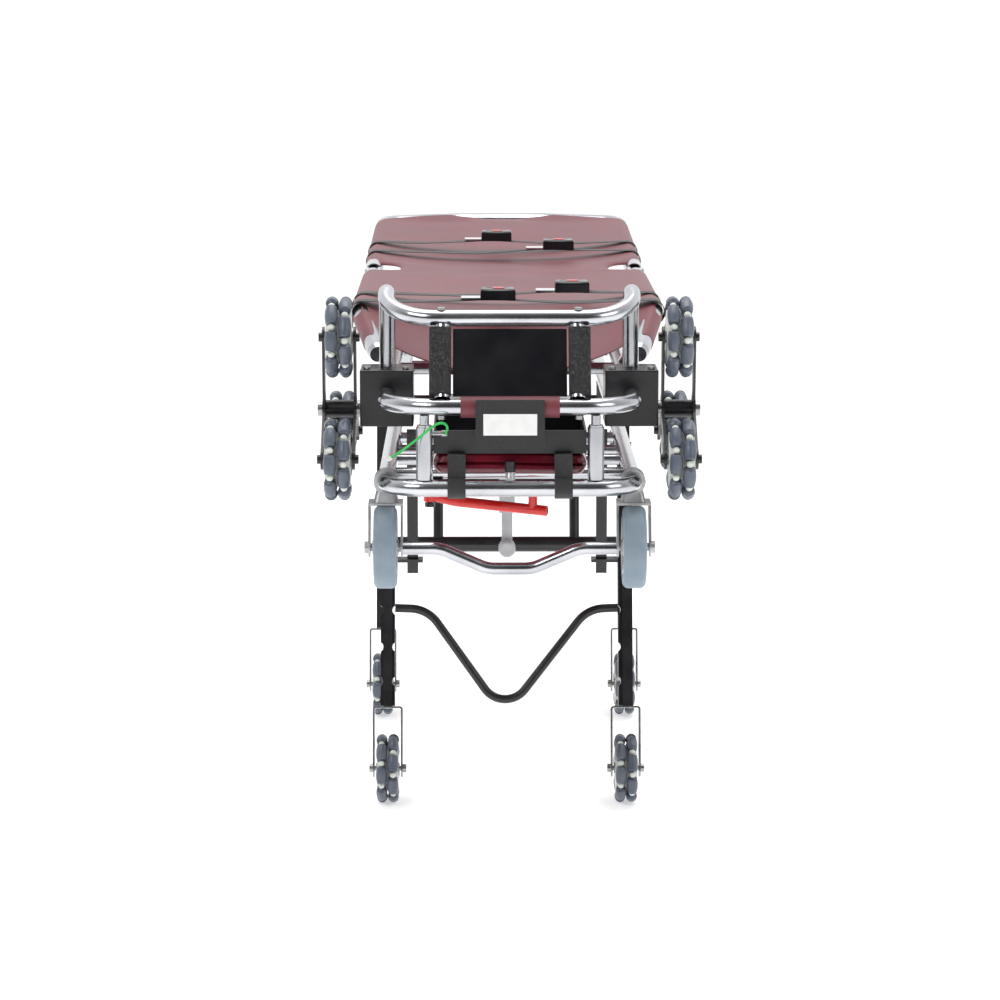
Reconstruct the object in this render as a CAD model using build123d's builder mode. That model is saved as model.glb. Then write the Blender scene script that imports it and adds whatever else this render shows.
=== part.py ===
from build123d import *
import math
import os

# Stretcher trolley. Millimetres. X across, Y along (near, loading end at -Y), Z up, floor at Z=0.
os.makedirs("parts", exist_ok=True)

# ---------------------------------------------------------------- driving dimensions
TUBE = 12.5            # radius of the hoop and rail tubes
WALL = 2.0
HOOP_X = 187.5         # half width of the hoops, on the tube's centre line
BASE_Z = 622.0         # height of the base rails
BASE_NOSE = -950.0
BASE_TAIL = 860.0
LOW_Z = 744.0          # lower handle hoop
LOW_NOSE = -944.0
TOP_NOSE, TOP_Z = -880.0, 870.0
POST_Y, POST_TOP = -758.0, 911.0
BLOCK = (147.0, 229.0, -800.0, -716.0, 694.0, 781.0)
POLE_R, POLE_X, POLE_Z = 16.0, 236.0, 838.0
HINGE_Y = 137.0
HEAD_Z = 868.0
SLEEVE_X, SLEEVE_Y = 128.0, -944.0
STAR_X, STAR_Y, STAR_Z, STAR_R = 261.0, -765.0, 717.0, 113.0
STAR_ANGLES = (95.0, 215.0, 335.0)
END_R, END_X, END_Y, END_Z = 62.5, 188.0, -900.0, 524.0
FLOOR_R = 57.5
LEG_L = 533.6          # pivot to floor wheel axle
LEG_LEAN = 14.1        # degrees, feet towards the loading end
PIVOT_Z = 575.0
NEAR_PIVOT_Y, NEAR_X = -270.0, 200.0
FAR_PIVOT_Y, FAR_X = 390.0, 226.0
FOLD_MAX = 100.0

made = {}


def keep(name, builder):
    builder.part.label = name
    export_step(builder.part, "parts/" + name + ".step")
    made[name] = builder.part


def tube(points, radii, r, wall=0.0):
    """Round bar or tube along straight runs joined by tangent arcs."""
    with BuildPart() as body:
        with BuildLine() as line:
            if len(points) > 2:
                FilletPolyline(*points, radius=radii)
            else:
                Line(*points)
        path = line.line
        with BuildSketch(Plane(origin=path @ 0, z_dir=path % 0)):
            Circle(r)
            if wall:
                Circle(r - wall, mode=Mode.SUBTRACT)
        sweep(path=path)
    return body.part


def along_x(x, y, z):
    return Plane(origin=(x, y, z), x_dir=(0, 1, 0), z_dir=(1, 0, 0))


def block(x0, x1, y0, y1, z0, z1, edge=0.0):
    with BuildPart(Plane.XY) as body:
        with BuildSketch(Plane(origin=((x0 + x1) / 2, (y0 + y1) / 2, z0))):
            Rectangle(abs(x1 - x0), abs(y1 - y0))
        extrude(amount=z1 - z0)
        if edge:
            fillet(body.edges(), radius=edge)
    return body.part


def rod(a, b, r, wall=0.0):
    return tube([a, b], None, r, wall)


# ---------------------------------------------------------------- stretcher: hoops, posts and blocks
with BuildPart() as top_hoop:
    add(tube([(-HOOP_X, POST_Y, BLOCK[5]), (-HOOP_X, POST_Y, POST_TOP), (-HOOP_X, TOP_NOSE, TOP_Z),
              (HOOP_X, TOP_NOSE, TOP_Z), (HOOP_X, POST_Y, POST_TOP), (HOOP_X, POST_Y, BLOCK[5])],
             [30, 78, 78, 30], TUBE, WALL))
keep("top_hoop", top_hoop)

with BuildPart() as lower_hoop:
    add(tube([(-HOOP_X, BLOCK[2], LOW_Z), (-HOOP_X, LOW_NOSE, LOW_Z), (HOOP_X, LOW_NOSE, LOW_Z), (HOOP_X, BLOCK[2], LOW_Z)],
             [82, 82], TUBE, WALL))
keep("lower_hoop", lower_hoop)

with BuildPart() as clamp_blocks:
    for s in (-1, 1):
        add(block(*sorted((s * BLOCK[0], s * BLOCK[1])), BLOCK[2], BLOCK[3], BLOCK[4], BLOCK[5], 2.5))
keep("clamp_blocks", clamp_blocks)

# screws: two on each block top, one on each hoop side, two on the top hoop, two under the lower hoop
with BuildPart() as frame_bolts:
    for s in (-1, 1):
        for bx in (158.0, 218.0):
            with Locations((s * bx, -785.0, BLOCK[5] + 2.0)):
                Cylinder(5.5, 4.0)
        with Locations((s * 103.0, TOP_NOSE, TOP_Z + TUBE + 2.0)):
            Cylinder(6.0, 4.0)
        with Locations((s * 103.0, LOW_NOSE, LOW_Z - TUBE - 3.0)):
            Cylinder(6.0, 6.0)
keep("frame_bolts", frame_bolts)

# plane of the grips, from the lower hoop up to the top hoop
dy, dz = TOP_NOSE - LOW_NOSE, TOP_Z - LOW_Z
GRIP_L = math.hypot(dy, dz)
GU = (0.0, dy / GRIP_L, dz / GRIP_L)
GN = (0.0, -GU[2], GU[1])          # outward, towards the near end


def grip_plane(x, up, out):
    return Plane(origin=(x, LOW_NOSE + GU[1] * up + GN[1] * out, LOW_Z + GU[2] * up + GN[2] * out),
                 x_dir=(1, 0, 0), z_dir=(0, GU[1], GU[2]))


with BuildPart() as handle_tubes:
    for s in (-1, 1):
        with BuildSketch(grip_plane(s * 101.0, TUBE + 0.3, 0.0)):
            Circle(12.0)
            Circle(10.2, mode=Mode.SUBTRACT)
        extrude(amount=GRIP_L - 2 * TUBE - 0.6)
keep("handle_tubes", handle_tubes)

with BuildPart() as foam_grips:
    for s in (-1, 1):
        with BuildSketch(grip_plane(s * 104.5, TUBE + 6.0, 3.0)):
            RectangleRounded(33.0, 24.0, 7.0)
        extrude(amount=GRIP_L - 2 * TUBE - 12.0)
        with BuildSketch(grip_plane(s * 101.0, 0.0, 0.0)):
            Circle(12.1)
        extrude(amount=GRIP_L, mode=Mode.SUBTRACT)
        # the back of the foam is split open where the tube shows
        with BuildSketch(grip_plane(s * 101.0, 0.0, -13.0)):
            Rectangle(60.0, 14.0)
        extrude(amount=GRIP_L, mode=Mode.SUBTRACT)
keep("foam_grips", foam_grips)

with BuildPart() as end_panel:
    with BuildSketch(grip_plane(0.0, TUBE + 6.0, -4.0)):
        RectangleRounded(171.0, 5.0, 1.5)
    extrude(amount=GRIP_L - 2 * TUBE - 10.0)
keep("end_panel", end_panel)

# maroon sleeve round the lower hoop and the black flap hanging from it
with BuildPart() as hoop_wrap:
    with BuildSketch(along_x(-74.0, LOW_NOSE, LOW_Z)):
        Circle(16.0)
        Circle(TUBE + 0.2, mode=Mode.SUBTRACT)
    extrude(amount=148.0)
    add(block(-51.5, 51.5, LOW_NOSE - 19.5, LOW_NOSE - 16.3, 684.0, 757.0))
    add(block(-40.0, 40.0, LOW_NOSE - 20.6, LOW_NOSE - 19.6, 704.0, 736.0))
keep("hoop_wrap", hoop_wrap)

# ---------------------------------------------------------------- stretcher: side poles, rails, canvas
with BuildPart() as foot_poles:
    for s in (-1, 1):
        add(tube([(s * 206.0, -652.0, 792.0), (s * POLE_X, -500.0, POLE_Z), (s * POLE_X, 105.0, POLE_Z)], [160], POLE_R, WALL))
        # end cap
        d = Vector(s * (206.0 - POLE_X), -152.0, 792.0 - POLE_Z).normalized()
        with BuildSketch(Plane(origin=(s * 206.0 + 0.2 * d.X, -652.0 + 0.2 * d.Y, 792.0 + 0.2 * d.Z), z_dir=(d.X, d.Y, d.Z))):
            Circle(POLE_R)
        extrude(amount=9.0, taper=18)
        # hinge ears with their pin
        add(block(*sorted((s * 221.5, s * 228.0)), 105.2, 152.0, POLE_Z - 13.0, POLE_Z + 13.0, 1.0))
        add(block(*sorted((s * 244.0, s * 250.5)), 105.2, 152.0, POLE_Z - 13.0, POLE_Z + 13.0, 1.0))
        add(block(*sorted((s * 228.0, s * 244.0)), 105.2, 112.0, POLE_Z - 13.0, POLE_Z + 13.0))
        add(rod((s * 228.0, HINGE_Y, POLE_Z), (s * 244.0, HINGE_Y, POLE_Z), 5.0))
keep("foot_poles", foot_poles)

RAIL_Z = 738.0
with BuildPart() as under_frame:
    for s in (-1, 1):
        add(rod((s * HOOP_X, BLOCK[3], RAIL_Z), (s * HOOP_X, 560.0, RAIL_Z), TUBE, WALL))
    # flat uprights from rail to pole
    for s in (-1, 1):
        for uy in (-430.0, -170.0, 70.0):
            with BuildSketch(Plane(origin=(0, uy + 15.0, 0), x_dir=(1, 0, 0), z_dir=(0, -1, 0))):
                Polygon((s * 182.0, RAIL_Z + TUBE + 0.2), (s * 193.0, RAIL_Z + TUBE + 0.2),
                        (s * 239.0, POLE_Z - POLE_R - 0.2), (s * 230.0, POLE_Z - POLE_R - 0.2), align=None)
            extrude(amount=30.0)
    for sy in (-430.0, -170.0, 70.0, 330.0, 545.0):
        add(rod((-HOOP_X + TUBE + 0.1, sy, RAIL_Z), (HOOP_X - TUBE - 0.1, sy, RAIL_Z), 10.0, WALL))
keep("under_frame", under_frame)

with BuildPart() as seat_canvas:
    with BuildSketch(Plane.XY.offset(836.0)):
        Polygon((-219.0, -490.0), (219.0, -490.0), (219.0, 90.0), (196.0, 122.0), (-196.0, 122.0), (-219.0, 90.0), align=None)
    extrude(amount=6.0)
    with BuildSketch(Plane(origin=(0, 0, 0), x_dir=(0, 1, 0), z_dir=(1, 0, 0))):
        Polygon((-490.0, 836.0), (-490.0, 842.0), (-630.0, 800.0), (-630.0, 794.0), align=None)
    extrude(amount=184.0, both=True)
keep("seat_canvas", seat_canvas)

# ---------------------------------------------------------------- backrest
RISE = (HEAD_Z - POLE_Z) / (900.0 - HINGE_Y)


def back_z(y):
    return POLE_Z + (y - HINGE_Y) * RISE


with BuildPart() as back_poles:
    for s in (-1, 1):
        add(rod((s * POLE_X, 172.0, back_z(172.0)), (s * POLE_X, 845.0, back_z(845.0)), POLE_R, WALL))
        # hinge tabs
        add(block(*sorted((s * 228.5, s * 243.5)), 124.0, 171.8, POLE_Z - 11.0, POLE_Z + 11.0))
        with Locations(along_x(s * 236.0, HINGE_Y, POLE_Z).location):
            Cylinder(5.06, 40.0, mode=Mode.SUBTRACT)
keep("back_poles", back_poles)

with BuildPart() as head_loop:
    ze = back_z(845.0)
    add(tube([(-POLE_X, 845.0, ze), (-POLE_X, 905.0, back_z(905.0)), (-84.0, 949.6, back_z(949.6)),
              (84.0, 949.6, back_z(949.6)), (POLE_X, 905.0, back_z(905.0)), (POLE_X, 845.0, ze)],
             [40, 40, 40, 40], POLE_R, WALL))
keep("head_loop", head_loop)

with BuildPart() as back_canvas:
    with BuildSketch(Plane(origin=(0, 0, POLE_Z - HINGE_Y * RISE - 2.0), x_dir=(1, 0, 0), z_dir=(0, -RISE, 1))):
        Polygon((-196.0, 152.0), (196.0, 152.0), (219.0, 190.0), (219.0, 860.0), (90.0, 920.0), (-90.0, 920.0), (-219.0, 860.0),
                (-219.0, 190.0), align=None)
    extrude(amount=6.0)
keep("back_canvas", back_canvas)

# ---------------------------------------------------------------- straps, buckles and their buttons
# each strap: name, y, z of its underside, x where the tongue starts, direction to the buckle
STRAPS = [("near", 1, -370.0, POLE_Z + POLE_R + 2.0, 48.0), ("near", 2, -492.0, POLE_Z + POLE_R + 2.0, -75.0),
          ("far", 1, 460.0, back_z(460.0) + POLE_R + 3.0, -72.0), ("far", 2, 330.0, back_z(330.0) + POLE_R + 3.0, 42.0)]
with BuildPart() as near_straps:
    for end, n, y, z, x in STRAPS[:2]:
        add(block(-254.0, 254.0, y - 20.0, y + 20.0, z, z + 2.5))
keep("near_straps", near_straps)
with BuildPart() as far_straps:
    for end, n, y, z, x in STRAPS[2:]:
        add(block(-254.0, 254.0, y - 20.0, y + 20.0, z, z + 2.5))
keep("far_straps", far_straps)


def tongue(y, z, x):
    return block(x, x + 31.0, y - 19.0, y + 19.0, z + 4.0, z + 6.5)


def buckle_body(y, z, x):
    with BuildPart() as body:
        add(block(x + 31.5, x + 88.0, y - 22.0, y + 22.0, z + 2.7, z + 21.0))
        fillet(body.edges().group_by(Axis.Z)[-1], radius=5.0)
        add(block(x + 50.7, x + 70.3, y - 10.3, y + 10.3, z + 14.0, z + 30.0), mode=Mode.SUBTRACT)
    return body.part


with BuildPart() as near_buckles:
    for end, n, y, z, x in STRAPS[:2]:
        add(buckle_body(y, z, x))
        add(tongue(y, z, x))
keep("near_buckles", near_buckles)
with BuildPart() as far_buckles:
    for end, n, y, z, x in STRAPS[2:]:
        add(buckle_body(y, z, x))
        add(tongue(y, z, x))
keep("far_buckles", far_buckles)
for end, n, y, z, x in STRAPS:
    with BuildPart() as button:
        add(block(x + 51.0, x + 70.0, y - 10.0, y + 10.0, z + 17.2, z + 22.0))
        fillet(button.edges().group_by(Axis.Z)[-1], radius=1.0)
    keep(end + "_button_" + str(n), button)

# ---------------------------------------------------------------- docking rods of the stretcher
ROD_R = 7.0
with BuildPart() as dock_rods:
    for s in (-1, 1):
        with BuildSketch(Plane(origin=(s * SLEEVE_X, SLEEVE_Y, 640.0))):
            Circle(ROD_R)
        extrude(amount=LOW_Z - TUBE - 640.0 - 0.2)
        with BuildSketch(Plane(origin=(s * SLEEVE_X, SLEEVE_Y, 714.0))):
            Circle(11.0)
        extrude(amount=3.0)
    with Locations(along_x(-SLEEVE_X, SLEEVE_Y, 704.0).location):
        Cylinder(3.3, 40.0, mode=Mode.SUBTRACT)
keep("dock_rods", dock_rods)

# ---------------------------------------------------------------- wheels with rollers round the rim


def omni_wheel(radius, bore):
    k = radius / 57.5
    r0 = radius - 9.25 * k
    half = 13.5 * k
    end = math.sqrt(radius * radius - half * half) - r0
    with BuildPart() as roller:
        with BuildSketch(Plane.XY):
            with BuildLine():
                Line((0, -half), (end, -half))
                ThreePointArc((end, -half), (9.25 * k, 0), (end, half))
                Line((end, half), (0, half))
                Line((0, half), (0, -half))
            make_face()
        revolve(axis=Axis.Y)
    with BuildPart() as wheel:
        Cylinder(radius - 19.4 * k, 35.0 * k)
        for side, phase in ((-1, 0.0), (1, 22.5)):
            with Locations((0, 0, side * 9.5 * k)):
                with PolarLocations(radius - 13.5 * k, 8, start_angle=phase - 67.5):
                    Box(13.0 * k, 5.6 * k, 7.0 * k)
                with PolarLocations(radius - 8.2 * k, 8, start_angle=phase - 67.5):
                    Sphere(5.0 * k)
        with Locations((0, 0, 0)):
            Cylinder(9.0, 39.0 * k)
        Cylinder(bore, 60.0 * k, mode=Mode.SUBTRACT)
    with BuildPart() as rollers:
        for side, phase in ((-1, 0.0), (1, 22.5)):
            with Locations((0, 0, side * 9.5 * k)):
                with PolarLocations(r0, 8, start_angle=phase - 90.0):
                    add(roller.part)
    return wheel.part, rollers.part


BOLT_R = 4.0
star_hub, star_rollers = omni_wheel(62.5, BOLT_R + 0.06)
floor_hub, floor_rollers = omni_wheel(FLOOR_R, BOLT_R + 0.06)


def place_wheel(name, hub, rollers, plane):
    with BuildPart() as wheel:
        add(hub.moved(plane.location))
        add(rollers.moved(plane.location))
    keep(name, wheel)


for side, s in (("left", -1), ("right", 1)):
    for n, a in enumerate(STAR_ANGLES):
        yy = STAR_Y + STAR_R * math.cos(math.radians(a))
        zz = STAR_Z + STAR_R * math.sin(math.radians(a))
        place_wheel("star_wheel_" + side + "_" + str(n + 1), star_hub, star_rollers, along_x(s * STAR_X, yy, zz))
    # side plates, hub barrel and wheel bolts
    with BuildPart() as star:
        for off in (-26.0, 22.0):
            with BuildSketch(along_x(s * STAR_X + off, STAR_Y, STAR_Z)):
                Circle(25.0)
                with PolarLocations(STAR_R / 2, 3, start_angle=STAR_ANGLES[0]):
                    Rectangle(STAR_R, 27.0)
                with PolarLocations(STAR_R, 3, start_angle=STAR_ANGLES[0]):
                    Circle(16.0)
                    Circle(BOLT_R + 0.1, mode=Mode.SUBTRACT)
                Circle(8.06, mode=Mode.SUBTRACT)
            extrude(amount=4.0)
        with BuildSketch(along_x(s * STAR_X - 21.9, STAR_Y, STAR_Z)):
            Circle(14.0)
            Circle(8.06, mode=Mode.SUBTRACT)
        extrude(amount=43.8)
        for a in STAR_ANGLES:
            yy = STAR_Y + STAR_R * math.cos(math.radians(a))
            zz = STAR_Z + STAR_R * math.sin(math.radians(a))
            add(rod((s * STAR_X - 27.0, yy, zz), (s * STAR_X + 27.0, yy, zz), BOLT_R))
            for h in (-1, 1):
                add(rod((s * STAR_X + h * 26.1, yy, zz), (s * STAR_X + h * 31.5, yy, zz), 7.0))
    keep("star_" + side, star)

with BuildPart() as star_axles:
    for s in (-1, 1):
        add(rod((s * (BLOCK[1] + 0.1), STAR_Y, STAR_Z), (s * 290.0, STAR_Y, STAR_Z), 8.0))
        add(rod((s * 288.0, STAR_Y, STAR_Z), (s * 295.0, STAR_Y, STAR_Z), 11.0))
        add(rod((s * (BLOCK[1] + 0.1), STAR_Y, STAR_Z), (s * 234.0, STAR_Y, STAR_Z), 13.0))
keep("star_axles", star_axles)

# ---------------------------------------------------------------- base frame
NOSE_R = 60.0
with BuildPart() as base_nose:
    add(tube([(-HOOP_X, -862.0, BASE_Z), (-HOOP_X, BASE_NOSE, BASE_Z), (HOOP_X, BASE_NOSE, BASE_Z), (HOOP_X, -862.0, BASE_Z)],
             [NOSE_R, NOSE_R], TUBE, WALL))
keep("base_nose", base_nose)
with BuildPart() as base_rails:
    for s in (-1, 1):
        add(rod((s * HOOP_X, -862.0, BASE_Z), (s * HOOP_X, BASE_TAIL, BASE_Z), TUBE, WALL))
    for cy in (-800.0, -660.0, -560.0, -420.0, 0.0, 560.0, 840.0):
        add(rod((-HOOP_X + TUBE + 0.1, cy, BASE_Z), (HOOP_X - TUBE - 0.1, cy, BASE_Z), 9.0, WALL))
keep("base_rails", base_rails)

# sleeves that the docking rods drop into, standing on the nose hoop
with BuildPart() as dock_sleeves:
    for s in (-1, 1):
        with BuildSketch(Plane(origin=(s * SLEEVE_X, SLEEVE_Y, BASE_Z + TUBE + 0.3))):
            Circle(12.5)
            Circle(ROD_R + 0.08, mode=Mode.SUBTRACT)
        extrude(amount=713.8 - BASE_Z - TUBE - 0.3)
    # cross hole for the locking pin, on the inner side of the left sleeve
    with Locations(along_x(-SLEEVE_X + 14.0, SLEEVE_Y, 704.0).location):
        Cylinder(3.1, 20.0, mode=Mode.SUBTRACT)
keep("dock_sleeves", dock_sleeves)

with BuildPart() as lock_pin:
    add(rod((-SLEEVE_X + 8.2, SLEEVE_Y, 704.0), (-SLEEVE_X + 32.0, SLEEVE_Y, 704.0), 3.04))
    add(rod((-SLEEVE_X + 26.0, SLEEVE_Y, 704.0), (-SLEEVE_X + 34.0, SLEEVE_Y, 704.0), 4.8))
keep("lock_pin", lock_pin)

# castings clamped on the rails, with the fork plates of the end wheels
with BuildPart() as end_castings:
    for s in (-1, 1):
        with BuildSketch(Plane(origin=(s * HOOP_X, -862.0, BASE_Z), x_dir=(1, 0, 0), z_dir=(0, -1, 0))):
            Circle(18.5)
            Circle(TUBE + 0.15, mode=Mode.SUBTRACT)
        extrude(amount=26.0)
        with BuildSketch(Plane(origin=(s * HOOP_X, -888.0 + 13.0, 591.0))):
            RectangleRounded(37.0, 38.0, 6.0)
        with BuildSketch(Plane(origin=(s * HOOP_X, -888.0 + 13.0, 607.0))):
            RectangleRounded(30.0, 26.0, 6.0)
        loft()
        with BuildSketch(Plane(origin=(s * HOOP_X, -862.0, BASE_Z), x_dir=(1, 0, 0), z_dir=(0, -1, 0))):
            Circle(TUBE + 0.15)
        extrude(amount=30.0, mode=Mode.SUBTRACT)
    # fork plates
    for s in (-1, 1):
        add(block(*sorted((s * 162.0, s * 214.0)), -900.0, -852.0, 587.5, 590.8))
        for px in (162.0, 211.0):
            with BuildSketch(along_x(s * px if s > 0 else -px - 3.0, END_Y, END_Z)):
                Circle(15.0)
                Polygon((-15.0, 0.0), (15.0, 0.0), (47.0, 66.7), (2.0, 66.7), align=None)
                Circle(6.1, mode=Mode.SUBTRACT)
            extrude(amount=3.0)
    # axles with their heads
    for s in (-1, 1):
        add(rod((s * 163.0, END_Y, END_Z), (s * 216.0, END_Y, END_Z), 6.0))
        add(rod((s * 214.1, END_Y, END_Z), (s * 220.0, END_Y, END_Z), 9.0))
keep("end_castings", end_castings)

for side, s in (("left", -1), ("right", 1)):
    with BuildPart() as end_tyre:
        with BuildSketch(Plane(origin=(s * END_X, END_Y, END_Z), x_dir=(1, 0, 0), z_dir=(0, -1, 0))):
            with Locations((0, 52.25)):
                RectangleRounded(35.0, 20.5, 9.0)
        revolve(axis=Axis((s * END_X, END_Y, END_Z), (1, 0, 0)))
    keep("end_tyre_" + side, end_tyre)
    with BuildPart() as end_rim:
        with BuildSketch(along_x(s * END_X - 17.0, END_Y, END_Z)):
            Circle(41.9)
            Circle(6.06, mode=Mode.SUBTRACT)
        extrude(amount=34.0)
        for off in (-17.0, 12.0):
            with BuildSketch(along_x(s * END_X + off, END_Y, END_Z)):
                Circle(36.0)
                Circle(14.0, mode=Mode.SUBTRACT)
            extrude(amount=5.0, mode=Mode.SUBTRACT)
        with BuildSketch(along_x(s * END_X - 20.0, END_Y, END_Z)):
            Circle(11.0)
            Circle(6.06, mode=Mode.SUBTRACT)
        extrude(amount=40.0)
    keep("end_rim_" + side, end_rim)

with BuildPart() as tie_bar:
    add(tube([(-161.8, END_Y, 522.0), (-106.0, END_Y, 522.0), (-34.0, END_Y, 491.0), (34.0, END_Y, 491.0), (106.0, END_Y, 522.0),
              (161.8, END_Y, 522.0)], [55, 55, 55, 55], 9.5, 2.0))
keep("tie_bar", tie_bar)

# black cross tray between the sleeves, with the folded pad and its straps
with BuildPart() as cross_tray:
    add(block(-115.0, 115.0, -925.0, -700.0, 671.0, 674.0))
    add(block(-115.0, 115.0, -925.0, -922.0, 674.0, 706.0))
    add(block(-115.0, 115.0, -703.0, -700.0, 674.0, 706.0))
    add(block(-115.0, -112.0, -922.0, -703.0, 674.0, 706.0))
    add(block(112.0, 115.0, -922.0, -703.0, 674.0, 706.0))
keep("cross_tray", cross_tray)

with BuildPart() as folded_pad:
    add(block(-116.0, 116.0, -925.0, -230.0, 640.0, 669.5, 9.0))
keep("folded_pad", folded_pad)

with BuildPart() as pad_straps:
    for s in (-1, 1):
        with BuildSketch(Plane(origin=(s * 80.0 - 13.5, 0, 0), x_dir=(0, 1, 0), z_dir=(1, 0, 0))):
            with Locations((BASE_NOSE, BASE_Z)):
                Circle(15.6)
                Circle(TUBE + 0.3, mode=Mode.SUBTRACT)
        extrude(amount=27.0)
        add(block(s * 80.0 - 13.5, s * 80.0 + 13.5, -951.5, -927.5, BASE_Z + TUBE + 2.0, 671.5))
        add(block(s * 80.0 - 13.5, s * 80.0 + 13.5, -949.0, -924.0, 637.0, 669.0), mode=Mode.SUBTRACT)
keep("pad_straps", pad_straps)

# ring, cord and lanyard of the locking pin
CORD_R = 1.9
LANYARD = [(-97.0, -950.8, 704.0), (-92.0, -957.0, 713.0), (-97.0, -965.0, 723.0), (-108.0, -970.0, 723.5), (-121.0, -970.5, 714.0),
           (-135.0, -969.0, 701.5), (-150.0, -966.5, 690.0), (-165.0, -966.0, 678.5), (-179.0, -967.0, 670.0)]


def route_radii(points):
    out = []
    for i in range(1, len(points) - 1):
        a, b, c = (Vector(*p) for p in points[i - 1:i + 2])
        run = min((b - a).length, (c - b).length)
        turn = (b - a).get_angle(c - b)
        out.append(0.45 * run / math.tan(math.radians(turn / 2)))
    return out


with BuildPart() as lanyard:
    rr = route_radii(LANYARD)
    print("lanyard radii", [round(v, 1) for v in rr])
    add(tube(LANYARD, rr, CORD_R))
    print("lanyard length", round(lanyard.part.volume / (math.pi * CORD_R ** 2), 1))
keep("lanyard", lanyard)

# red lever on its pivot bolt under the nose, with knob
with BuildPart() as red_lever:
    add(tube([(-122.0, -800.0, 588.0), (-84.0, -806.0, 579.0), (58.0, -838.0, 569.0)], [120], 8.0, 1.5))
    add(rod((-122.0, -800.0, 578.5), (-122.0, -800.0, 597.0), 10.0))
    add(rod((36.0, -833.0, 574.0), (36.0, -833.0, 596.0), 7.0))
    with Locations((-122.0, -800.0, 588.0)):
        Cylinder(4.06, 60.0, mode=Mode.SUBTRACT)
keep("red_lever", red_lever)

# press knob standing on the nose hoop
with BuildPart() as spring_knob:
    add(rod((0.0, -940.0, 646.0), (0.0, -940.0, 662.0), 8.0))
    add(rod((0.0, -940.0, 642.0), (0.0, -940.0, 647.0), 3.5))
keep("spring_knob", spring_knob)

# drop handle hanging from a cross tube
with BuildPart() as drop_handle:
    with BuildSketch(along_x(-12.0, -420.0, BASE_Z)):
        Circle(12.0)
    extrude(amount=24.0)
    add(block(-13.0, 13.0, -431.0, -426.5, 498.0, 625.0))
    add(block(-9.0, 9.0, -431.0, -426.5, 440.0, 500.0))
    with BuildSketch(Plane(origin=(0, -426.5, 440.0), x_dir=(1, 0, 0), z_dir=(0, -1, 0))):
        Circle(14.0)
    extrude(amount=26.0)
    fillet(drop_handle.faces().sort_by(Axis.Y)[0].edges(), radius=5.0)
    with BuildSketch(along_x(-20.0, -420.0, BASE_Z)):
        Circle(9.06)
    extrude(amount=40.0, mode=Mode.SUBTRACT)
keep("drop_handle", drop_handle)

# brackets under the base: flat hangers, lever pivot block and bolt, ears of the leg pivots
with BuildPart() as under_brackets:
    for s in (-1, 1):
        add(block(s * 156.0 - 9.0, s * 156.0 + 9.0, -438.0, -431.0, 398.0, 638.0))
        add(block(s * 156.0 - 9.0, s * 156.0 + 9.0, -431.0, -429.3, 612.0, 632.0))
        add(block(s * 161.0 - 22.0, s * 161.0 + 22.0, -450.0, -420.0, 418.0, 423.0))
        for py in (NEAR_PIVOT_Y, FAR_PIVOT_Y):
            with BuildSketch(along_x(s * 180.0 - 4.0, py, PIVOT_Z)):
                Circle(17.0)
                Polygon((-17.0, 0.0), (17.0, 0.0), (26.0, 34.0), (-26.0, 34.0), align=None)
                Circle(11.08, mode=Mode.SUBTRACT)
            extrude(amount=8.0)
    add(block(-142.0, -102.0, -812.0, -788.0, 597.6, 612.8))
    add(rod((-122.0, -800.0, 572.0), (-122.0, -800.0, 598.0), 4.0))
    add(rod((-122.0, -800.0, 570.0), (-122.0, -800.0, 576.0), 8.0))
keep("under_brackets", under_brackets)

# ---------------------------------------------------------------- folding legs
LEAN = math.radians(LEG_LEAN)


def leg_plane(pivot_y, depth):
    """Sketch plane of a leg frame: x is X, y runs up the leg from the pivot."""
    n = (0.0, -math.cos(LEAN), math.sin(LEAN))
    return Plane(origin=(0.0, pivot_y + n[1] * depth, PIVOT_Z + n[2] * depth), x_dir=(1, 0, 0), z_dir=n)


def leg_point(pivot_y, x, up, out=0.0):
    return (x, pivot_y + up * math.sin(LEAN) - out * math.cos(LEAN), PIVOT_Z + up * math.cos(LEAN) + out * math.sin(LEAN))


def legs(pivot_y, x, notched):
    with BuildPart() as body:
        for s in (-1, 1):
            with BuildSketch(leg_plane(pivot_y, -10.0)):
                with Locations((s * x, -206.0)):
                    Rectangle(24.0, 446.0)
                if notched:
                    for v in (-268.0, -330.0, -388.0):
                        for e in (-1, 1):
                            with Locations((s * x + e * 16.5, v)):
                                Circle(9.0, mode=Mode.SUBTRACT)
            extrude(amount=20.0)
        # hollow channel, open at the back
        if notched:
            for s in (-1, 1):
                with BuildSketch(leg_plane(pivot_y, -10.0)):
                    with Locations((s * x, -230.0)):
                        Rectangle(9.0, 390.0)
                extrude(amount=12.0, mode=Mode.SUBTRACT)
    return body.part


def cross_frame(pivot_y, x):
    """Pivot tube, lower cross tube and the two inner bars, welded."""
    with BuildPart() as body:
        add(rod(leg_point(pivot_y, -x + 12.1, 0), leg_point(pivot_y, x - 12.1, 0), 11.0))
        add(rod(leg_point(pivot_y, -x + 12.1, -156.0), leg_point(pivot_y, x - 12.1, -156.0), 13.0))
        for s in (-1, 1):
            add(rod(leg_point(pivot_y, s * 115.0, 0), leg_point(pivot_y, s * 115.0, -156.0), 8.5))
    return body.part


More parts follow.
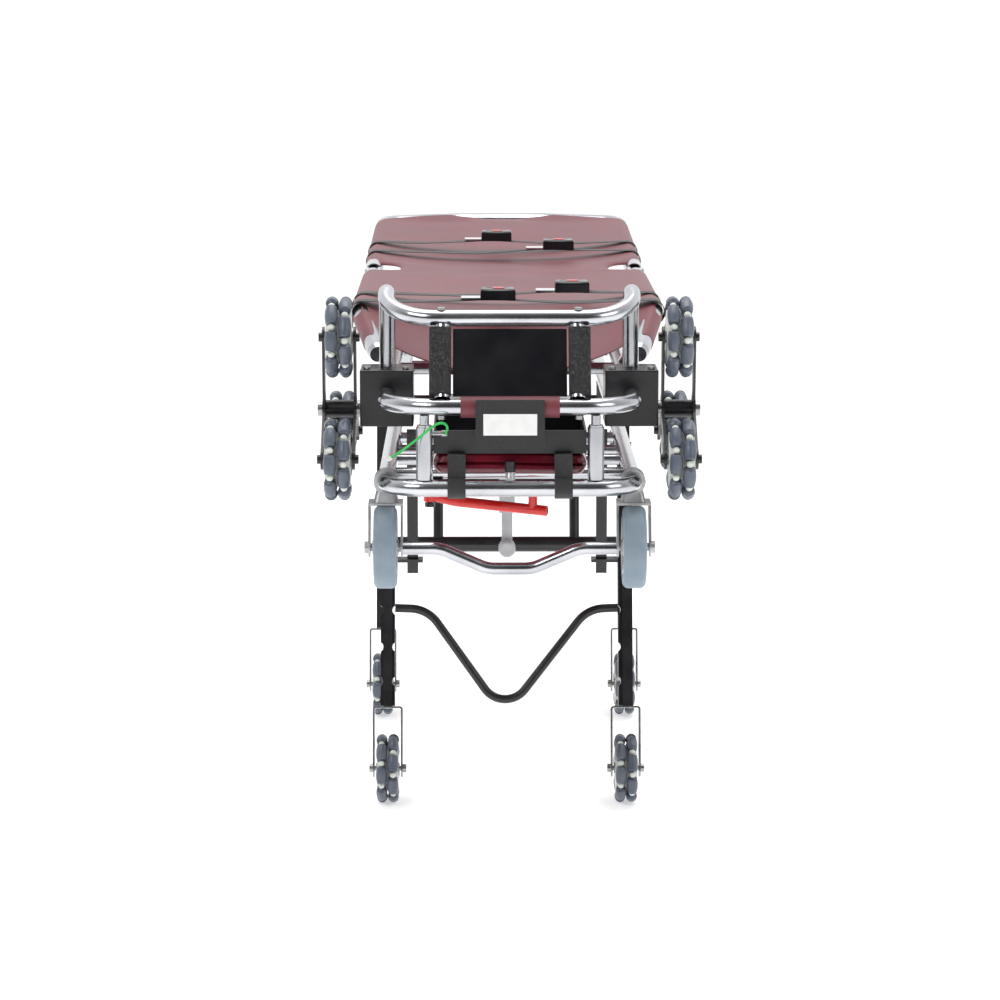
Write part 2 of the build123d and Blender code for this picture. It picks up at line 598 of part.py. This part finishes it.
def forks(pivot_y, x):
    """Inverted U straps under each leg, with the wheel bolts and nuts."""
    with BuildPart() as body:
        for s in (-1, 1):
            with BuildSketch(leg_plane(pivot_y, -15.0)):
                with Locations((s * x, -485.0)):
                    RectangleRounded(50.0, 110.0, 5.0)
                with Locations((s * x, -491.5)):
                    RectangleRounded(44.4, 117.6, 3.0, mode=Mode.SUBTRACT)
            extrude(amount=30.0)
            a = leg_point(pivot_y, s * x - 24.0, -LEG_L)
            b = leg_point(pivot_y, s * x + 24.0, -LEG_L)
            for h in (-1, 1):
                p = leg_point(pivot_y, s * x + h * 22.2, -LEG_L)
                q = leg_point(pivot_y, s * x + h * 25.0, -LEG_L)
                add(rod(p, q, 15.0))
                add(rod(leg_point(pivot_y, s * x + h * 25.0, -LEG_L), leg_point(pivot_y, s * x + h * 31.0, -LEG_L), 7.0))
            add(rod(a, b, BOLT_R))
    return body.part


with BuildPart() as near_legs:
    add(legs(NEAR_PIVOT_Y, NEAR_X, True))
    # square bar in front of each channel
    for s in (-1, 1):
        w = 15.0 if s < 0 else 17.0
        with BuildSketch(leg_plane(NEAR_PIVOT_Y, 10.1)):
            with Locations((s * NEAR_X + (0.0 if s < 0 else 3.5), -226.0)):
                Rectangle(w, 408.0)
        extrude(amount=8.0)
keep("near_legs", near_legs)

with BuildPart() as near_cross_frame:
    add(cross_frame(NEAR_PIVOT_Y, NEAR_X))
keep("near_cross_frame", near_cross_frame)

VX = NEAR_X - 12.2
with BuildPart() as v_brace:
    add(tube([leg_point(NEAR_PIVOT_Y, -VX, -264.0), leg_point(NEAR_PIVOT_Y, -133.0, -266.0), leg_point(NEAR_PIVOT_Y, -4.0, -446.0),
              leg_point(NEAR_PIVOT_Y, 137.0, -266.0), leg_point(NEAR_PIVOT_Y, VX, -264.0)], [58, 42, 58], 7.2))
keep("v_brace", v_brace)

with BuildPart() as near_forks:
    add(forks(NEAR_PIVOT_Y, NEAR_X))
keep("near_forks", near_forks)

with BuildPart() as far_legs:
    add(legs(FAR_PIVOT_Y, FAR_X, False))
    add(cross_frame(FAR_PIVOT_Y, FAR_X))
keep("far_legs", far_legs)

with BuildPart() as far_forks:
    add(forks(FAR_PIVOT_Y, FAR_X))
keep("far_forks", far_forks)

for end, py, px in (("near", NEAR_PIVOT_Y, NEAR_X), ("far", FAR_PIVOT_Y, FAR_X)):
    for side, s in (("left", -1), ("right", 1)):
        place_wheel("floor_wheel_" + end + "_" + side, floor_hub, floor_rollers, along_x(*leg_point(py, s * px, -LEG_L)))

print(len(made), "nodes")
box = Compound(children=[p for n, p in made.items() if n != "lanyard"]).bounding_box()
print("bounds", [round(v, 3) for v in (box.min.X, box.min.Y, box.min.Z, box.max.X, box.max.Y, box.max.Z)])
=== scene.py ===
import bpy, bmesh, math, random
from mathutils import Vector, Matrix


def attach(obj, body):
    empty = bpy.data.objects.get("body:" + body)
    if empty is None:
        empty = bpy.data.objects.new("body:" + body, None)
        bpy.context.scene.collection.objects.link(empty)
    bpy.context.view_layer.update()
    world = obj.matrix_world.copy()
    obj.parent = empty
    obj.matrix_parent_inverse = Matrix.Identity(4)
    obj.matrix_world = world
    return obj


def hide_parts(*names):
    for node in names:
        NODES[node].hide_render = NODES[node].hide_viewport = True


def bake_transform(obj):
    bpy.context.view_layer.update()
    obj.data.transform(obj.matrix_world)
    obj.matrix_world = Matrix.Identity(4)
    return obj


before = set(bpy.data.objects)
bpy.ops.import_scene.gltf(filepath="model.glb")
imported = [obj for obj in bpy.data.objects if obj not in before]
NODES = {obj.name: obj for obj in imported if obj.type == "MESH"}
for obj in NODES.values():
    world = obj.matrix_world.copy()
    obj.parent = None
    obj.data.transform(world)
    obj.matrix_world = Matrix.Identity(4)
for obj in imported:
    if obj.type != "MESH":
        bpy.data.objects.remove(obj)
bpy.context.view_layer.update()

random.seed(7)
C = bpy.context.collection


# ------------------------------------------------------------------ materials
def mat(name, color, rough=0.4, metal=0.0, color2=None, scale=60.0, bump=0.0, bump_scale=400.0, stretch=(1, 1, 1),
        rough_var=0.0, sheen=0.0, coat=0.0, kind="noise", spots=None, spot_scale=900.0, spot_cut=0.7, wave=None):
    m = bpy.data.materials.new(name)
    m.use_nodes = True
    t = m.node_tree
    b = t.nodes["Principled BSDF"]
    b.inputs["Metallic"].default_value = metal
    b.inputs["Roughness"].default_value = rough
    if sheen:
        b.inputs["Sheen Weight"].default_value = sheen
    if coat:
        b.inputs["Coat Weight"].default_value = coat
        b.inputs["Coat Roughness"].default_value = 0.12
    co = t.nodes.new("ShaderNodeTexCoord")
    mp = t.nodes.new("ShaderNodeMapping")
    mp.inputs["Scale"].default_value = stretch
    t.links.new(co.outputs["Object"], mp.inputs["Vector"])
    n = t.nodes.new("ShaderNodeTexNoise")
    n.inputs["Scale"].default_value = scale
    n.inputs["Detail"].default_value = 6.0
    t.links.new(mp.outputs["Vector"], n.inputs["Vector"])
    r = t.nodes.new("ShaderNodeValToRGB")
    c2 = color2 or tuple(min(1.0, c * 1.18 + 0.004) for c in color)
    r.color_ramp.elements[0].position = 0.35
    r.color_ramp.elements[1].position = 0.65
    r.color_ramp.elements[0].color = (*color, 1)
    r.color_ramp.elements[1].color = (*c2, 1)
    t.links.new(n.outputs["Fac"], r.inputs["Fac"])
    last = r.outputs["Color"]
    if spots:
        v = t.nodes.new("ShaderNodeTexNoise")
        v.inputs["Scale"].default_value = spot_scale
        t.links.new(co.outputs["Object"], v.inputs["Vector"])
        k = t.nodes.new("ShaderNodeValToRGB")
        k.color_ramp.elements[0].position = spot_cut
        k.color_ramp.elements[1].position = spot_cut + 0.02
        t.links.new(v.outputs["Fac"], k.inputs["Fac"])
        x = t.nodes.new("ShaderNodeMix")
        x.data_type = "RGBA"
        x.inputs["B"].default_value = (*spots, 1)
        t.links.new(k.outputs["Color"], x.inputs["Factor"])
        t.links.new(last, x.inputs["A"])
        last = x.outputs["Result"]
    t.links.new(last, b.inputs["Base Color"])
    if rough_var:
        q = t.nodes.new("ShaderNodeMapRange")
        q.inputs["To Min"].default_value = max(0.02, rough - rough_var)
        q.inputs["To Max"].default_value = rough + rough_var
        t.links.new(n.outputs["Fac"], q.inputs["Value"])
        t.links.new(q.outputs["Result"], b.inputs["Roughness"])
    if bump:
        if wave:
            g = t.nodes.new("ShaderNodeTexWave")
            g.bands_direction = wave
            g.inputs["Scale"].default_value = bump_scale
            g.inputs["Distortion"].default_value = 0.6
        else:
            g = t.nodes.new("ShaderNodeTexNoise")
            g.inputs["Scale"].default_value = bump_scale
            g.inputs["Detail"].default_value = 4.0
        t.links.new(co.outputs["Object"], g.inputs["Vector"])
        p = t.nodes.new("ShaderNodeBump")
        p.inputs["Strength"].default_value = bump
        p.inputs["Distance"].default_value = 0.0006
        t.links.new(g.outputs["Fac"], p.inputs["Height"])
        t.links.new(p.outputs["Normal"], b.inputs["Normal"])
    return m


ALU = mat("polished_tube", (0.45, 0.46, 0.49), 0.2, 1.0, (0.60, 0.61, 0.64), 14, 0.12, 260, (1, 1, 1), 0.09)
CAST = mat("cast_grey_metal", (0.42, 0.43, 0.44), 0.42, 0.85, (0.55, 0.56, 0.56), 45, 0.35, 900, rough_var=0.12)
BLACK = mat("black_powder", (0.006, 0.006, 0.008), 0.34, 0.0, (0.014, 0.014, 0.017), 30, 0.3, 1600, rough_var=0.08, coat=0.25)
ZINC = mat("zinc_plate", (0.36, 0.37, 0.38), 0.3, 1.0, (0.48, 0.48, 0.47), 120, 0.1, 700, rough_var=0.1)
FOAM = mat("speckled_foam", (0.010, 0.010, 0.011), 0.9, 0.0, (0.02, 0.02, 0.022), 200, 0.9, 1100, spots=(0.5, 0.5, 0.5), spot_scale=1300, spot_cut=0.66)
GLOSS = mat("black_moulded", (0.006, 0.006, 0.009), 0.22, 0.0, (0.012, 0.012, 0.014), 20, 0.05, 500, rough_var=0.06)
CANVAS = mat("maroon_canvas", (0.135, 0.020, 0.030), 0.45, 0.0, (0.175, 0.030, 0.042), 9, 0.5, 1500, sheen=0.08, rough_var=0.07)
VINYL = mat("maroon_vinyl", (0.15, 0.006, 0.018), 0.2, 0.0, (0.20, 0.012, 0.028), 12, 0.25, 180, coat=0.5, rough_var=0.05)
WEB = mat("black_webbing", (0.008, 0.008, 0.010), 0.7, 0.0, (0.022, 0.022, 0.025), 300, 0.9, 700, sheen=0.3, wave="X")
REDP = mat("red_button", (0.5, 0.012, 0.01), 0.25, 0.0, (0.6, 0.02, 0.015), 80, 0.05, 500)
REDM = mat("red_paint", (0.68, 0.012, 0.008), 0.22, 0.0, (0.78, 0.02, 0.012), 25, 0.06, 300, coat=0.5, rough_var=0.05)
PALE = mat("pale_plastic", (0.45, 0.47, 0.49), 0.45, 0.0, (0.55, 0.56, 0.57), 30, 0.1, 500, rough_var=0.06)
GREEN = mat("green_cord", (0.02, 0.42, 0.06), 0.6, 0.0, (0.04, 0.55, 0.12), 500, 0.8, 1500)
CREAM = mat("cream_hub", (0.70, 0.74, 0.68), 0.4, 0.0, (0.78, 0.81, 0.76), 60, 0.1, 600, rough_var=0.05)
ROLL = mat("roller_blue_grey", (0.085, 0.105, 0.14), 0.33, 0.0, (0.115, 0.135, 0.17), 50, 0.12, 700, rough_var=0.08)
TYRE = mat("tyre_grey_blue", (0.20, 0.265, 0.32), 0.5, 0.0, (0.24, 0.30, 0.355), 40, 0.3, 1200, rough_var=0.08)
RIM = mat("rim_grey", (0.50, 0.52, 0.53), 0.4, 0.0, (0.58, 0.59, 0.6), 40, 0.15, 600, rough_var=0.05)
CARD = mat("blank_card", (0.82, 0.82, 0.80), 0.5, 0.0, (0.88, 0.88, 0.87), 60, 0.1, 900)
STEEL = mat("chrome_tongue", (0.72, 0.72, 0.72), 0.14, 1.0, (0.82, 0.82, 0.82), 60, 0.05, 500, rough_var=0.05)

by = {
    ALU: "top_hoop lower_hoop handle_tubes under_frame back_poles head_loop base_nose base_rails dock_sleeves dock_rods tie_bar foot_poles",
    CAST: "end_castings", BLACK: "clamp_blocks star_left star_right near_legs near_cross_frame v_brace far_legs under_brackets cross_tray",
    ZINC: "frame_bolts star_axles near_forks far_forks lock_pin", FOAM: "foam_grips", GLOSS: "end_panel spring_knob",
    REDP: "near_button_1 near_button_2 far_button_1 far_button_2", REDM: "red_lever", PALE: "drop_handle",
    TYRE: "end_tyre_left end_tyre_right", RIM: "end_rim_left end_rim_right"}
for m, names in by.items():
    for n in names.split():
        o = NODES[n]
        if o.material_slots:
            for s in o.material_slots:
                s.material = m
        else:
            o.data.materials.append(m)


# ------------------------------------------------------------------ helpers
def islands(node):
    bm = bmesh.new()
    bm.from_mesh(NODES[node].data)
    bmesh.ops.remove_doubles(bm, verts=bm.verts, dist=2e-6)
    bm.verts.index_update()
    seen, out = set(), []
    for v in bm.verts:
        if v in seen:
            continue
        stack, grp = [v], []
        seen.add(v)
        while stack:
            a = stack.pop()
            grp.append(a)
            for e in a.link_edges:
                w = e.other_vert(a)
                if w not in seen:
                    seen.add(w)
                    stack.append(w)
        out.append(grp)
    return bm, out


def split_look(node, body, pick, mats, name):
    """Same surface as the CAD node, one material per separate solid."""
    bm, groups = islands(node)
    for g in groups:
        k = pick(g)
        for f in {f for v in g for f in v.link_faces}:
            f.material_index = k
            f.smooth = True
    me = bpy.data.meshes.new(name)
    bm.to_mesh(me)
    bm.free()
    for m in mats:
        me.materials.append(m)
    o = bpy.data.objects.new(name, me)
    C.objects.link(o)
    me.set_sharp_from_angle(angle=math.radians(35))
    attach(o, body)
    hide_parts(node)
    return o


def grid(name, rows, body, m, thick=0.0, closed=False, smooth=True, subd=0):
    """Surface through rows of points."""
    bm = bmesh.new()
    vs = [[bm.verts.new(p) for p in r] for r in rows]
    for i in range(len(vs) - 1):
        for j in range(len(vs[0]) - 1):
            bm.faces.new((vs[i][j], vs[i][j + 1], vs[i + 1][j + 1], vs[i + 1][j]))
    bmesh.ops.recalc_face_normals(bm, faces=bm.faces)
    for f in bm.faces:
        f.smooth = smooth
    me = bpy.data.meshes.new(name)
    bm.to_mesh(me)
    bm.free()
    me.materials.append(m)
    o = bpy.data.objects.new(name, me)
    C.objects.link(o)
    if thick:
        s = o.modifiers.new("s", "SOLIDIFY")
        s.thickness = thick
        s.offset = 0.0
    if subd:
        s = o.modifiers.new("d", "SUBSURF")
        s.levels = s.render_levels = subd
    if body:
        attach(o, body)
    return o


def extent(g, axis):
    v = [p.co[axis] for p in g]
    return max(v) - min(v)


# ------------------------------------------------------------------ wheels: cream hubs and blue-grey rollers
for n in [k for k in NODES if k.startswith(("star_wheel", "floor_wheel"))]:
    split_look(n, n, lambda g: 0 if extent(g, 1) > 0.07 and extent(g, 2) > 0.07 else 1, [CREAM, ROLL], n + "_look")

# buckles: black bodies with chrome tongues
for end, body in (("near", "stretcher"), ("far", "backrest")):
    split_look(end + "_buckles", body, lambda g: 1 if extent(g, 2) < 0.004 else 0, [GLOSS, STEEL], end + "_buckles_look")

# ------------------------------------------------------------------ canvas: one sheet round both poles
POLE_R, POLE_X, POLE_Z, HINGE = 0.016, 0.236, 0.838, 0.137
RISE = 0.030 / 0.763


def pole(y):
    """Pole centre (x, z) at y."""
    if y < -0.5:
        k = (-0.5 - y) / 0.152
        return POLE_X - 0.030 * k, POLE_Z - 0.046 * k
    if y > HINGE:
        return POLE_X, POLE_Z + (y - HINGE) * RISE
    return POLE_X, POLE_Z


def canvas_row(y, nose=0.0):
    px, pz = pole(y)
    r = POLE_R + 0.0016
    cut = 0.0
    d = abs(y - HINGE)
    if d < 0.075:
        cut = 0.052 * (1 - (d / 0.075) ** 2) ** 0.5
    head = max(0.0, (y - 0.855) / 0.065)
    pts = []
    sag = 0.010 + 0.012 * math.exp(-((y + 0.25) / 0.22) ** 2) + 0.010 * math.exp(-((y - 0.45) / 0.25) ** 2) + nose
    inner = px - 0.004 - cut - (0.135 * head if head > 0 else 0.0)
    half = []
    if cut == 0.0 and head == 0.0:
        for a in (-60, -25, 10, 45, 75, 90):
            half.append((px + r * math.cos(math.radians(a)), pz + r * math.sin(math.radians(a))))
    else:
        top = pz + r - 0.001
        for k in range(6):
            half.append((inner + 0.0008 * (6 - k), top - 0.0006 * (6 - k) - (0.004 if cut else 0)))
    edge = half[-1][0]
    cross = [(edge * c, pz + r - sag * (1 - c * c) ** 0.85 + 0.0012 * math.sin(37 * y + 9 * c) * (1 - c * c)) for c in
             (0.93, 0.82, 0.68, 0.52, 0.35, 0.17, 0.0)]
    right = half + cross
    left = [(-x, z + 0.0008 * math.sin(51 * y)) for x, z in right[:-1]]
    for x, z in right:
        pts.append(Vector((x, y, z)))
    for x, z in reversed(left):
        pts.append(Vector((x, y, z)))
    return pts


ys = [-0.628, -0.60, -0.56, -0.52, -0.48, -0.43, -0.37, -0.31, -0.25, -0.19, -0.13, -0.07, -0.01, 0.035, 0.062, 0.075, 0.09, 0.11,
      0.137, 0.164, 0.184, 0.199, 0.212, 0.24, 0.29, 0.34, 0.40, 0.46, 0.52, 0.58, 0.64, 0.70, 0.76, 0.81, 0.845, 0.862, 0.88, 0.90, 0.918]
rows = []
for y in ys:
    nose = max(0.0, (-0.46 - y)) * 0.33
    rows.append(canvas_row(y, nose))
canvas = grid("canvas_sheet", rows, None, CANVAS, 0.0016, subd=1)
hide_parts("seat_canvas", "back_canvas")
bpy.context.view_layer.update()
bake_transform(canvas)


# ------------------------------------------------------------------ straps: webbing over the canvas and round the poles
def strap(name, y, x0, x1, body, lift, w=0.038):
    px, pz = pole(y)
    r = POLE_R + 0.0042
    prof = []
    for a in (-80, -40, 0, 40, 70, 90):
        prof.append((px + r * math.cos(math.radians(a)), pz + r * math.sin(math.radians(a))))
    mid = []
    for k in range(1, 16):
        c = 1 - k / 8
        x = px * c
        near = max(0.0, 1 - abs(x - (x0 + x1) / 2) / 0.13)
        z = pz + r + lift * near - 0.006 * (1 - c * c) * (1 - near)
        mid.append((x, z))
    right = prof + mid
    left = [(-x, z) for x, z in prof][::-1]
    line = right + left
    rows = []
    for j, t in enumerate((-0.5, -0.2, 0.2, 0.5)):
        rows.append([Vector((x, y + w * t + 0.002 * math.sin(9 * x), z + 0.0006 * math.sin(40 * x + j))) for x, z in line])
    return grid(name, rows, body, WEB, 0.0014, subd=1)


near_a = strap("near_strap_look_1", -0.370, 0.048, 0.136, "stretcher", 0.002)
near_b = strap("near_strap_look_2", -0.492, -0.075, 0.013, "stretcher", 0.002)
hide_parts("near_straps")
far_a = strap("far_strap_look_1", 0.460, -0.072, 0.016, "backrest", 0.003)
far_b = strap("far_strap_look_2", 0.330, 0.042, 0.130, "backrest", 0.003)
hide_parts("far_straps")


# ------------------------------------------------------------------ folded pad with a crowned form
def soft_box(name, lo, hi, body, m, fold=None, inset=0.006, nx=12, ny=26):
    lo, hi = Vector(lo), Vector(hi)
    rings = []
    zs = (0.0, 0.12, 0.3, 0.42, 0.5, 0.58, 0.7, 0.88, 1.0)
    cx, cy = (lo.x + hi.x) / 2, (lo.y + hi.y) / 2
    bm = bmesh.new()
    loops = []
    for t in zs:
        pull = inset * (1 - math.sin(math.pi * t)) if t not in (0.5,) else inset * 0.9
        if fold and abs(t - 0.5) < 0.02:
            pull = 0.006
        hx, hy = (hi.x - lo.x) / 2 - pull, (hi.y - lo.y) / 2 - pull
        z = lo.z + (hi.z - lo.z) * t
        loop = []
        pts = []
        rr = 0.012
        for qx, qy, a0 in ((1, 1, 0), (-1, 1, 90), (-1, -1, 180), (1, -1, 270)):
            for a in (0, 30, 60, 90):
                an = math.radians(a0 + a)
                pts.append((cx + qx * (hx - rr) + rr * math.cos(an), cy + qy * (hy - rr) + rr * math.sin(an)))
        full = []
        for i in range(len(pts)):
            p, q = pts[i], pts[(i + 1) % len(pts)]
            steps = max(1, int(math.dist(p, q) / 0.03))
            for k in range(steps):
                full.append((p[0] + (q[0] - p[0]) * k / steps, p[1] + (q[1] - p[1]) * k / steps))
        loops.append((z, full))
    n = min(len(f) for _, f in loops)
    vs = []
    for z, full in loops:
        idx = [int(i * len(full) / n) for i in range(n)]
        vs.append([bm.verts.new((full[i][0] + 0.0009 * math.sin(70 * full[i][0] + 45 * full[i][1]), full[i][1], z + 0.0012 * math.sin(38 * full[i][1] + 21 * full[i][0])))
                   for i in idx])
    for a, b in zip(vs, vs[1:]):
        for i in range(n):
            bm.faces.new((a[i], a[(i + 1) % n], b[(i + 1) % n], b[i]))
    bm.faces.new(list(reversed(vs[0])))
    bm.faces.new(vs[-1])
    bmesh.ops.recalc_face_normals(bm, faces=bm.faces)
    for f in bm.faces:
        f.smooth = True
    me = bpy.data.meshes.new(name)
    bm.to_mesh(me)
    bm.free()
    me.materials.append(m)
    o = bpy.data.objects.new(name, me)
    C.objects.link(o)
    me.set_sharp_from_angle(angle=math.radians(60))
    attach(o, body)
    return o


pad = soft_box("folded_pad_look", (-0.116, -0.925, 0.640), (0.116, -0.230, 0.6695), "base", VINYL, fold=True)
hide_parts("folded_pad")

# straps round the nose hoop and the pad front
split_look("pad_straps", "base", lambda g: 0, [WEB], "pad_straps_look")


# ------------------------------------------------------------------ sleeve on the lower hoop, flap and card
def wrap_pick(g):
    if extent(g, 0) > 0.14:
        return 0
    return 1 if extent(g, 0) > 0.09 else 2


split_look("hoop_wrap", "stretcher", wrap_pick, [CANVAS, WEB, CARD], "hoop_wrap_look")

# ------------------------------------------------------------------ coil spring under the press knob
pts = []
for i in range(73):
    a = i / 72 * 5 * 2 * math.pi
    pts.append((0.0065 * math.cos(a), -0.940 + 0.0065 * math.sin(a), 0.6358 + 0.0095 * i / 72))
cu = bpy.data.curves.new("press_spring", "CURVE")
cu.dimensions = "3D"
sp = cu.splines.new("POLY")
sp.points.add(len(pts) - 1)
for p, q in zip(sp.points, pts):
    p.co = (*q, 1)
cu.bevel_depth = 0.0009
cu.materials.append(STEEL)
spring = bpy.data.objects.new("press_spring", cu)
C.objects.link(spring)
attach(spring, "base")

# ------------------------------------------------------------------ lanyard
LANYARD = [(-97.0, -950.8, 704.0), (-92.0, -957.0, 713.0), (-97.0, -965.0, 723.0), (-108.0, -970.0, 723.5), (-121.0, -970.5, 714.0),
           (-135.0, -969.0, 701.5), (-150.0, -966.5, 690.0), (-165.0, -966.0, 678.5), (-179.0, -967.0, 670.0)]
cu = bpy.data.curves.new("lanyard_cord", "CURVE")
cu.dimensions = "3D"
sp = cu.splines.new("NURBS")
sp.points.add(len(LANYARD) - 1)
for p, q in zip(sp.points, LANYARD):
    p.co = (q[0] / 1000, q[1] / 1000, q[2] / 1000, 1)
sp.order_u = 3
sp.use_endpoint_u = True
cu.bevel_depth = 0.0019
cu.bevel_resolution = 6
cu.resolution_u = 16
cu.materials.append(GREEN)
cord = bpy.data.objects.new("lanyard_cord", cu)
C.objects.link(cord)
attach(cord, "base")
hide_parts("lanyard")
bpy.ops.mesh.primitive_uv_sphere_add(segments=24, ring_count=14, radius=0.0036, location=(-0.1795, -0.967, 0.6698))
knot = bpy.context.object
knot.name = "lanyard_knot"
for v in knot.data.vertices:
    v.co.x *= 1.25
    v.co += v.co.normalized() * 0.0005 * math.sin(2600 * v.co.z + 1900 * v.co.x)
for f in knot.data.polygons:
    f.use_smooth = True
knot.data.materials.append(CREAM)
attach(knot, "base")

# ------------------------------------------------------------------ floor, light, camera
bpy.ops.mesh.primitive_plane_add(size=60, location=(0, 0, -0.0005))
floor = bpy.context.object
floor.name = "floor"
fm = bpy.data.materials.new("floor_white")
fm.use_nodes = True
fm.node_tree.nodes["Principled BSDF"].inputs["Base Color"].default_value = (0.93, 0.93, 0.93, 1)
fm.node_tree.nodes["Principled BSDF"].inputs["Roughness"].default_value = 0.9
fm.node_tree.nodes["Principled BSDF"].inputs["Emission Color"].default_value = (1, 1, 1, 1)
fm.node_tree.nodes["Principled BSDF"].inputs["Emission Strength"].default_value = 0.45
floor.data.materials.append(fm)

w = bpy.data.worlds.new("studio")
bpy.context.scene.world = w
w.use_nodes = True
w.node_tree.nodes["Background"].inputs["Color"].default_value = (1, 1, 1, 1)
wt = w.node_tree
wc = wt.nodes.new("ShaderNodeTexCoord")
ws = wt.nodes.new("ShaderNodeSeparateXYZ")
wr = wt.nodes.new("ShaderNodeMapRange")
wr.inputs["From Min"].default_value = -0.7
wr.inputs["From Max"].default_value = 0.45
wr.inputs["To Min"].default_value = 0.06
wr.inputs["To Max"].default_value = 1.05
wt.links.new(wc.outputs["Generated"], ws.inputs["Vector"])
wt.links.new(ws.outputs["Y"], wr.inputs["Value"])
wt.links.new(wr.outputs["Result"], wt.nodes["Background"].inputs["Strength"])


def area(name, loc, target, size, power):
    d = bpy.data.lights.new(name, "AREA")
    d.shape = "RECTANGLE"
    d.size, d.size_y = size
    d.energy = power
    o = bpy.data.objects.new(name, d)
    C.objects.link(o)
    o.location = loc
    o.rotation_euler = (Vector(target) - Vector(loc)).to_track_quat("-Z", "Y").to_euler()


area("key", (-2.2, -3.6, 3.4), (0, -0.4, 0.6), (2.0, 1.6), 60)
area("fill", (2.8, -3.0, 2.4), (0, -0.4, 0.6), (2.0, 2.0), 32)
area("top", (0, 0.3, 4.0), (0, 0, 0.7), (3.0, 3.0), 90)

cam = bpy.data.cameras.new("cam")
co = bpy.data.objects.new("cam", cam)
C.objects.link(co)
cam.sensor_width = 36.0
cam.sensor_fit = "HORIZONTAL"
cam.lens = 3374.0 * 36.0 / 1000.0
cam.clip_end = 200
co.location = (-0.0494, -5.930, 1.420)
yaw, pitch = math.radians(0.394), math.radians(9.3)
d = Vector((math.sin(yaw) * math.cos(pitch), math.cos(yaw) * math.cos(pitch), -math.sin(pitch)))
co.rotation_euler = d.to_track_quat("-Z", "Y").to_euler()
bpy.context.scene.camera = co
try:
    bpy.context.scene.view_settings.view_transform = "Standard"
except TypeError:
    pass
